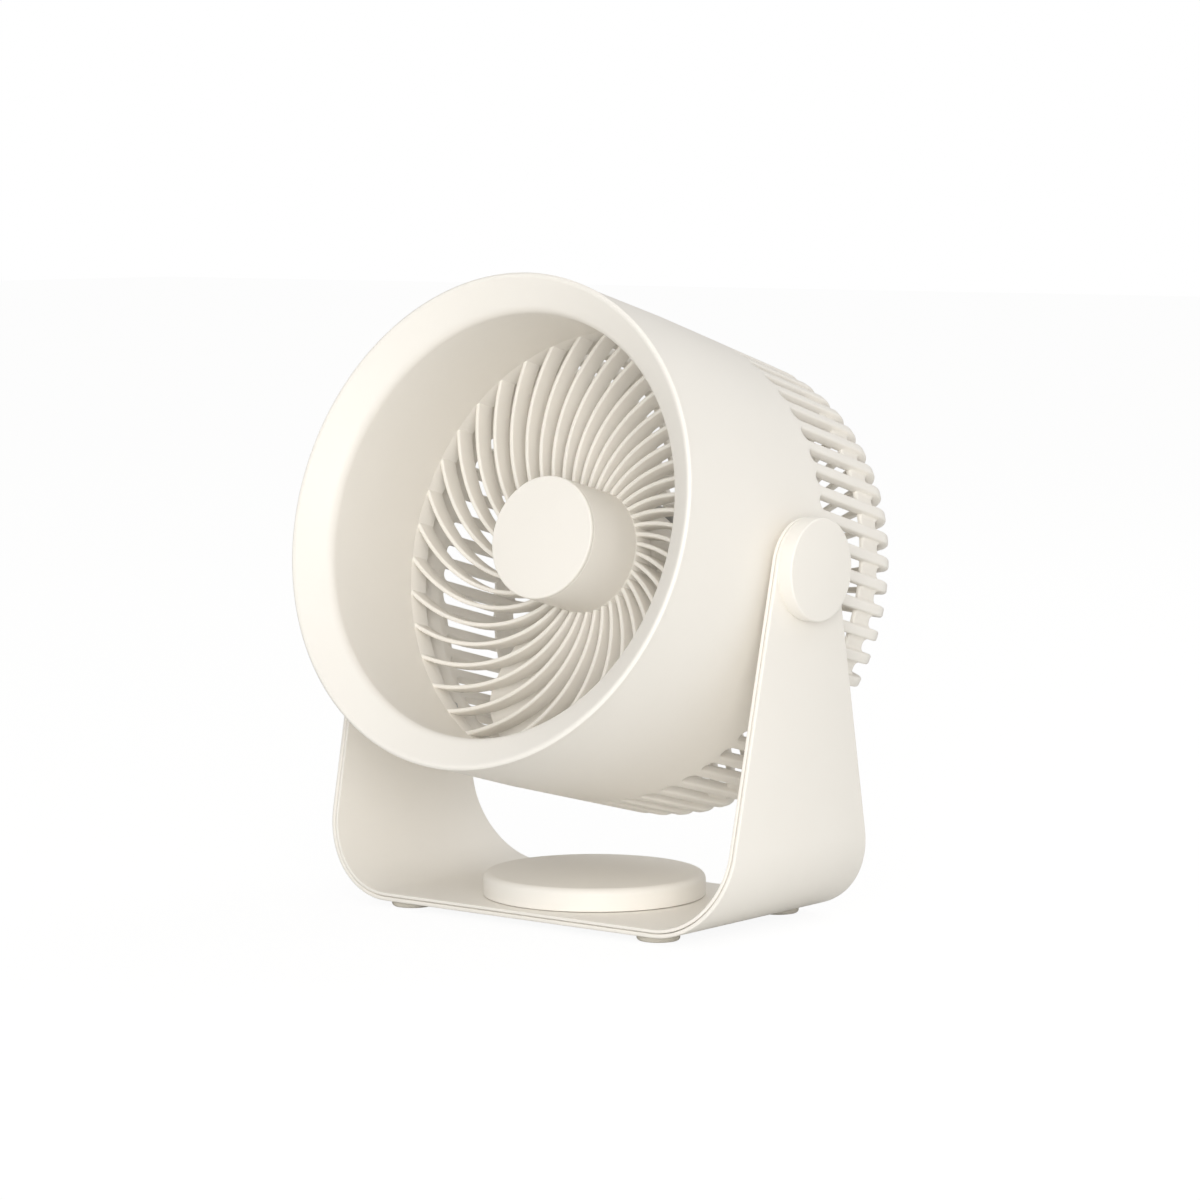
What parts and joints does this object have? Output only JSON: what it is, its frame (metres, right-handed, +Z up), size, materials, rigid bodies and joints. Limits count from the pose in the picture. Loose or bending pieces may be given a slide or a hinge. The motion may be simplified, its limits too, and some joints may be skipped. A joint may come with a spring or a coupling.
{
  "type": "air circulator fan",
  "caption": "Desk air circulator: a round drum head with a swirl grille and slotted rear, tilting between the arms of a U-shaped stand with a weighted round base.",
  "frame": {"origin": "on the floor under the middle of the whole fan's bounding box", "axes": "+Z up, -Y towards the side that the air leaves, +X to the right of someone who looks along +Y at the grille"},
  "size_m": [0.2494, 0.2134, 0.2873],
  "materials": {
    "cream_plastic": "fine satin texture, moulded",
    "steel": "zinc plated",
    "dark_steel": "pressed steel and laminations, dark",
    "copper": "enamelled copper wire",
    "brass": "turned",
    "rubber": "matt, soft",
    "black_plastic": "fine matt texture"
  },
  "bodies": {
    "stand": {"stand_outer_shell": "cream_plastic", "stand_inner_shell": "cream_plastic", "base_disc": "cream_plastic", "base_weight": "dark_steel", "foot_1": "rubber", "foot_2": "rubber", "foot_3": "rubber", "foot_4": "rubber", "base_screw_1": "steel", "base_screw_2": "steel", "base_screw_3": "steel", "base_screw_4": "steel", "pivot_cap_left": "cream_plastic", "pivot_cap_right": "cream_plastic"},
    "head": {"rear_housing": "cream_plastic", "front_ring": "cream_plastic", "front_grille": "cream_plastic", "hub_barrel": "cream_plastic", "hub_cap": "cream_plastic", "control_cover": "cream_plastic", "motor_front_shell": "dark_steel", "motor_rear_shell": "dark_steel", "stator_core": "dark_steel", "bearing_front": "steel", "bearing_rear": "steel", "winding_front": "copper", "winding_rear": "copper", "speed_switch": "black_plastic", "power_inlet": "black_plastic", "housing_screw_1": "steel", "housing_screw_2": "steel", "housing_screw_3": "steel", "housing_screw_4": "steel", "motor_screw_1": "steel", "motor_screw_2": "steel", "motor_screw_3": "steel", "cover_screw_1": "steel", "cover_screw_2": "steel", "pivot_bolt_left": "steel", "spring_washer_left": "steel", "friction_washer_left": "rubber", "pivot_insert_left": "brass", "pivot_bolt_right": "steel", "spring_washer_right": "steel", "friction_washer_right": "rubber", "pivot_insert_right": "brass"},
    "rotor": {"impeller": "cream_plastic", "motor_shaft": "steel", "blade_nut": "brass", "rotor_core": "dark_steel"},
    "knob": {"speed_knob": "cream_plastic", "knob_spindle": "steel"}
  },
  "joints": [
    {"name": "head_tilt", "type": "hinge", "parent": "stand", "child": "head", "pos_m": [0, -0.00089, 0.1605], "axis": [-1, 0, 0], "range_deg": [-25, 75]},
    {"name": "rotor_spin", "type": "hinge", "parent": "head", "child": "rotor", "pos_m": [0, -0.00089, 0.1605], "axis": [0, -0.9659, 0.2588], "continuous": true},
    {"name": "speed_knob_turn", "type": "hinge", "parent": "head", "child": "knob", "pos_m": [0, -0.00089, 0.1605], "axis": [0, 0.9659, -0.2588], "range_deg": [0, 135]}
  ]
}
